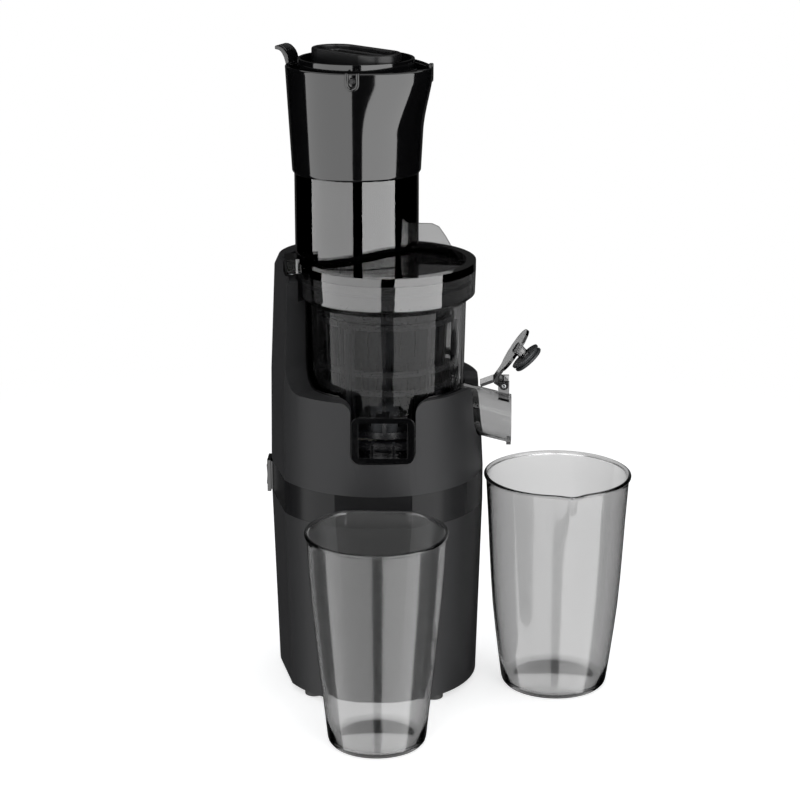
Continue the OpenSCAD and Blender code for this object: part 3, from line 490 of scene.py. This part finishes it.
rounded("auger_screw", "auger_body", "auger_set", dark_pei, 0.8, 34)
dressed("auger_pinion", acetal)
dressed("auger_hex_socket", stainless)
rounded("auger_pin", "auger_top_pin", "auger_set", stainless, 0.6)
dressed("idler_gear_a", acetal)
dressed("idler_gear_b", acetal)
rounded("brush_ring", "brush_frame", "brush_set", dark_pei, 0.3, 34)
rounded("wiper_blades", "silicone_wipers", "brush_set", dark_silicone, 0.4)

# ---------------------------------------------------------------- Spout cap
# A flap of light smoke copolyester that swings on a steel pin, with a pressed-in silicone
# plug that closes the juice spout.
clear_cap = smoke("light_smoke_copolyester", 200.0)
rounded("cap_flap", "spout_flap", "spout_cap", clear_cap, 0.5)
rounded("cap_plug", "spout_plug", "spout_cap", dark_silicone, 0.3)
rounded("cap_pin", "spout_hinge_pin", "bowl_set", stainless, 0.3)

# ---------------------------------------------------------------- Lid
# Smoke-grey like the bowl, with a dished top, a raised rim, a fin for turning it and a lug
# that closes the lid switch. A silicone ring seals it, an acetal bush guides the auger.
# Only the rim has a coat and a full mirror image. The dish, the fin inside it and the lug
# outside it have painted shade: their mirror image is dimmed, and the low floor of the dish is
# tinted darker than the fin.
rim_radius = 62.5
smoke_lid = smoke("smoke_copolyester_lid", 520.0, 1.0, 1.0)
# Painted shade: below 332 mm the floor of the dish is tinted down to a quarter.
graded(smoke_lid, "height", [("Base Color", 332.0, 333.5, 0.25, 1.0)])
# Painted shade: away from the rim the mirror image is dimmed to a tenth and has no coat.
graded(smoke_lid, "radius", [("Coat Weight", 4.5, 5.0, 1.0, 0.0),
                             ("Specular Tint", 4.5, 5.0, 1.0, 0.1)], middle=rim_radius)
lid = rounded("lid_disc", "bowl_lid", "lid_set", smoke_lid, 0.7)
lid.visible_shadow = False
rounded("lid_seal_ring", "lid_gasket", "lid_set", dark_silicone, 0.2)
rounded("lid_bush", "lid_bearing", "lid_set", acetal, 0.3)
dressed("lid_magnet", zinc_steel)

# ---------------------------------------------------------------- Feed chute and hopper
# The chute is a tube of the same smoke plastic. The hopper is polished black ABS that flares
# out to the front corner, with a swinging gate inside and a curled finger tab behind.
smoke_chute = smoke("smoke_copolyester_chute", 1800.0, 1.0, 1.0)
rounded("chute_tube", "feed_chute", "lid_set", smoke_chute, 0.6)
chute_centre = (-22.6, 22.0)
bulge_out, bulge_turn, bulge_spread = 8.0, -31, 55


def hopper_ring(z, r, swell=0.0, points=180):
    """Outline at height z of a circle of radius r that bulges outwards at the front right, by
    swell times the full bulge. Sizes are in mm."""
    ring = []
    for k in range(points):
        turn = 2 * math.pi * k / points
        u = (math.degrees(turn) - bulge_turn + 180) % 360 - 180
        out = 0.0
        if abs(u) < bulge_spread:
            out = bulge_out / 2 * (1 + math.cos(math.radians(u * 180 / bulge_spread)))
        ring.append(((chute_centre[0] + (r + swell * out) * math.cos(turn)) / 1000,
                     (chute_centre[1] + (r + swell * out) * math.sin(turn)) / 1000, z / 1000))
    return ring


def flare(z, inset):
    """Ring of the flared wall at height z, inset mm inside the outer face."""
    t = max(0.0, min(1.0, (z - 417.0) / 37.0))
    t = t * t * (3 - 2 * t) * 0.4 + t * 0.6
    return hopper_ring(z, 48.0 + 0.056 * (z - flare_base) - inset, t)


# The loft goes up the inside from the socket on the chute, over the rim and down the outside.
flare_base, wall, rim_z = 406, 2.4, 462.5
socket = ((385.6, 46.3), (385.0, 45.6), (385.0, 45.45), (393.0, 45.45), (393.0, 44.4),
          (404.0, 45.4))
skirt = ((404.0, 47.9), (396, 47.44), (387.4, 46.96), (386.6, 46.91))
levels = [flare_base + 2 * i for i in range(28)]
rings = [hopper_ring(z, r) for z, r in socket]
rings += [flare(z, wall) for z in levels + [461.4]]
rings += [flare(rim_z - 0.4, 2.0), flare(rim_z, 1.2), flare(rim_z - 0.4, 0.4)]
rings += [flare(z, 0.0) for z in [461.4] + levels[::-1]]
rings += [hopper_ring(z, r) for z, r in skirt]
count = len(rings[0])
corners = [p for ring in rings for p in ring]
quads = []
for i in range(len(rings)):
    for k in range(count):
        a, b = i * count + k, i * count + (k + 1) % count
        j = (i + 1) % len(rings)
        quads.append((a, j * count + k, j * count + (k + 1) % count, b))
mesh = bpy.data.meshes.new("hopper_funnel")
mesh.from_pydata(corners, [], quads)
hopper = bpy.data.objects.new("hopper_funnel", mesh)
bpy.context.collection.objects.link(hopper)
alone(hopper)
bpy.ops.object.mode_set(mode="EDIT")
bpy.ops.mesh.select_all(action="SELECT")
bpy.ops.mesh.normals_make_consistent(inside=False)
bpy.ops.object.mode_set(mode="OBJECT")
bpy.ops.object.shade_smooth_by_angle(angle=math.radians(40))
hopper.data.materials.append(gloss_abs)
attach(hopper, "lid_set")
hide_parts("hopper")


def bar(name, outline, thick, origin, across, along, edge):
    """A bar of polished ABS on the lid: an outline in mm of places along and heights up,
    thickened to both sides across, with its edges rounded by edge mm."""
    up = Vector((0, 0, 1))
    front = [(origin + along * a + up * z - across * thick / 2) / 1000 for a, z in outline]
    mesh = bpy.data.meshes.new(name)
    mesh.from_pydata(front, [], [list(range(len(front)))])
    piece = bpy.data.objects.new(name, mesh)
    bpy.context.collection.objects.link(piece)
    alone(piece)
    bpy.ops.object.mode_set(mode="EDIT")
    bpy.ops.mesh.select_all(action="SELECT")
    bpy.ops.mesh.extrude_region_move(TRANSFORM_OT_translate={"value": across * thick / 1000})
    bpy.ops.mesh.select_all(action="SELECT")
    bpy.ops.mesh.normals_make_consistent(inside=False)
    bpy.ops.object.mode_set(mode="OBJECT")
    bevel = piece.modifiers.new("edge", "BEVEL")
    bevel.width = edge / 1000
    bevel.segments = 3
    bevel.limit_method = "ANGLE"
    bevel.angle_limit = math.radians(32)
    bpy.ops.object.modifier_apply(modifier="edge")
    bpy.ops.object.shade_smooth_by_angle(angle=math.radians(40))
    piece.data.materials.append(gloss_abs)
    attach(piece, "lid_set")


def heading(turn):
    """The level direction at that many degrees from +X, and the one to its left."""
    ahead = Vector((math.cos(math.radians(turn)), math.sin(math.radians(turn)), 0))
    return ahead, Vector((-ahead.y, ahead.x, 0))


# The gate's two pins sit in U-shaped pockets on the outside of the rim.
pin_height, bend_r, slot_r, bend_z, top_z = 457.5, 5.1, 2.6, -2.1, 5.6
pocket = [(bend_r * math.cos(math.radians(a)), bend_z + bend_r * math.sin(math.radians(a)))
          for a in range(180, 361, 12)] + [(bend_r, top_z), (slot_r, top_z)]
pocket += [(slot_r * math.cos(math.radians(a)), bend_z + slot_r * math.sin(math.radians(a)))
           for a in range(360, 179, -12)] + [(-slot_r, top_z), (-bend_r, top_z)]
for name, turn, reach in (("gate_pocket_front", -90.0, 51.9), ("gate_pocket_side", -1.0, 54.0)):
    across, along = heading(turn)
    spot = Vector((chute_centre[0], chute_centre[1], pin_height)) + across * reach
    bar(name, pocket, 3.2, spot, across, along, 0.8)

# The finger tab curls outwards behind the rim and has four ridges for grip.
out_way, side_way = heading(160)
root = Vector((chute_centre[0], chute_centre[1], 0))
curl = [(48.9, 455), (48.9, 463), (50, 467), (51.2, 469.4), (53, 471.4), (55.0, 473.0),
        (57.2, 473.8), (60.0, 473.9), (60.2, 471.4), (57, 470.8), (55.4, 469.8), (54.2, 468.2),
        (53.0, 465.8), (52.2, 463.4), (51.2, 459.4), (50.4, 455)]
bar("finger_tab", curl, 18.0, root, side_way, out_way, 0.6)
ridge = [(52.2, 469.9), (53.4, 471.2), (55.2, 472.9), (57.2, 473.8), (59.2, 473.9), (59.2, 474.0),
         (57.0, 474.0), (54.8, 473.4), (52.8, 471.8), (51.7, 470.2)]
ridge_pitch, ridge_width = 3.6, 1.1
for i in range(4):
    spot = root + side_way * (i - 1.5) * ridge_pitch
    bar("tab_ridge_%d" % (i + 1), ridge, ridge_width, spot, side_way, out_way, 0.12)

rounded("hopper_gate", "feed_gate", "gate", satin_pa, 0.5)

# ---------------------------------------------------------------- Pusher
# A hollow cup of polished black ABS that runs in the chute, with an oval finger loop of
# smooth polyamide snapped into its mouth.
rounded("pusher_tube", "pusher_cup", "pusher", gloss_abs, 0.9)
grip_pa = plastic("smooth_black_polyamide", "#0e0e0f", "#121213", 0.3, 0.6, 0.02, 1.53, 0.3)
rounded("pusher_grip", "pusher_handle", "pusher", grip_pa, 1.7, segments=4)


# ---------------------------------------------------------------- Juice jug
# Thin-walled light smoke copolyester, injection moulded, round in plan, with a rolled rim
# and a pouring lip. The base has painted shade: it is tinted slightly darker, for the longer
# way that light crosses it.
def turned(name, profile, centre, steps=128):
    """A closed wall spun from a profile of radius and height in mm."""
    x, y = centre[0] / 1000, centre[1] / 1000
    mesh = bpy.data.meshes.new(name)
    mesh.from_pydata([(x + r / 1000, y, z / 1000) for r, z in profile],
                     [(i, i + 1) for i in range(len(profile) - 1)], [])
    piece = bpy.data.objects.new(name, mesh)
    bpy.context.collection.objects.link(piece)
    alone(piece)
    bpy.ops.object.mode_set(mode="EDIT")
    bpy.ops.mesh.select_all(action="SELECT")
    bpy.ops.mesh.spin(steps=steps, angle=2 * math.pi, center=(x, y, 0), axis=(0, 0, 1))
    bpy.ops.mesh.select_all(action="SELECT")
    bpy.ops.mesh.remove_doubles(threshold=0.00001)
    bpy.ops.mesh.normals_make_consistent(inside=False)
    bpy.ops.object.mode_set(mode="OBJECT")
    return piece


def vessel(piece, body, node):
    """Shades a wall, gives it the vessels' plastic and puts it in place of its CAD node."""
    alone(piece)
    bpy.ops.object.shade_smooth_by_angle(angle=math.radians(50))
    piece.data.materials.append(smoke_jug)
    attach(piece, body)
    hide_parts(node)


jug_centre = (126.8, -9)
jug = turned("jug_wall", [
    (0, 0.9), (28, 0.9), (30.5, 0.0), (35.6, 0.0), (37.6, 0.8), (39.0, 2.4), (39.7, 4.6),
    (42.0, 21), (44.6, 42), (46.9, 63), (48.5, 85), (49.8, 108), (50.9, 130), (52.0, 148),
    (52.9, 163.0), (53.6, 163.4), (54.3, 163.9), (54.5, 164.8), (54.2, 165.6), (53.4, 166.0),
    (52.4, 165.9), (51.6, 165.3), (51.2, 164.2), (50.9, 160), (50.0, 148), (48.9, 130),
    (47.8, 108), (46.5, 85), (44.9, 63), (42.6, 42), (40.0, 21), (37.9, 6.4), (36.8, 4.3),
    (34.6, 3.2), (0, 3.0)], jug_centre)
# The pouring lip grows out of the upper wall, most at the rim, towards the front.
lip_turn, lip_base, lip_rise, lip_out, lip_spread = -80, 137, 29, 4.3, 7.5
for vertex in jug.data.vertices:
    x, y = vertex.co.x * 1000 - jug_centre[0], vertex.co.y * 1000 - jug_centre[1]
    away = (math.degrees(math.atan2(y, x)) - lip_turn + 180) % 360 - 180
    rise = max(0.0, (vertex.co.z * 1000 - lip_base) / lip_rise)
    push = lip_out * rise ** 1.6 * math.exp(-(away / lip_spread) ** 2)
    r = math.hypot(x, y)
    vertex.co.x += push * x / max(r, 1) / 1000
    vertex.co.y += push * y / max(r, 1) / 1000
smoke_jug = smoke("light_smoke_jug_copolyester", 215.0, 0.4, 0.9, 0.02, 0.2)
# Painted shade: below 3.2 mm the base is tinted darker.
graded(smoke_jug, "height", [("Base Color", 3.2, 3.8, 0.85, 1.0)])
vessel(jug, "jug", "juice_jug")

# ---------------------------------------------------------------- Pulp container
# The same plastic and wall as the jug, with one side flattened so that it stands close to
# the housing under the pulp outlet.
box_centre = (-2.4, -119.5)
box = turned("container_wall", [
    (0, 0.9), (25, 0.9), (27, 0.0), (31.4, 0.0), (33.4, 0.8), (34.7, 2.4), (35.3, 4.6),
    (37.1, 22), (39, 40), (41.5, 62), (43.6, 84), (45.7, 107), (47.4, 130), (48.2, 143),
    (48.9, 155), (49.6, 155.4), (50.2, 155.9), (50.4, 156.8), (50.1, 157.6), (49.4, 158.0),
    (48.4, 157.9), (47.6, 157.3), (47.2, 156.2), (46.9, 152), (46.2, 143), (45.4, 130),
    (43.7, 107), (41.6, 84), (39.5, 62), (37.0, 40), (35.1, 22), (33.5, 6.4), (32.4, 4.3),
    (30.4, 3.2), (0, 3.0)], box_centre)
# The outer face, radius and height, by which each point's depth in the wall is found, so
# that the flat side keeps the wall's thickness.
flat_at = 41.0
wall_line = [(35.3, 4.6), (37.1, 22), (39, 40), (41.5, 62), (43.6, 84), (45.7, 107), (47.4, 130),
             (48.2, 143), (48.9, 155), (50.4, 156.8), (49.4, 158.0)]
for vertex in box.data.vertices:
    y, z = vertex.co.y * 1000 - box_centre[1], vertex.co.z * 1000
    r = math.hypot(vertex.co.x * 1000 - box_centre[0], y)
    outer = wall_line[0][0]
    for (r1, z1), (r2, z2) in zip(wall_line, wall_line[1:]):
        if z1 <= z <= z2:
            outer = r1 + (r2 - r1) * (z - z1) / (z2 - z1)
    limit = flat_at + 1.2 * min(1.0, max(0.0, (z - 154) / 2)) - max(0.0, outer - r)
    if y > limit:
        vertex.co.y = (box_centre[1] + limit + 1 - math.exp(limit - y)) / 1000
vessel(box, "container", "pulp_container")
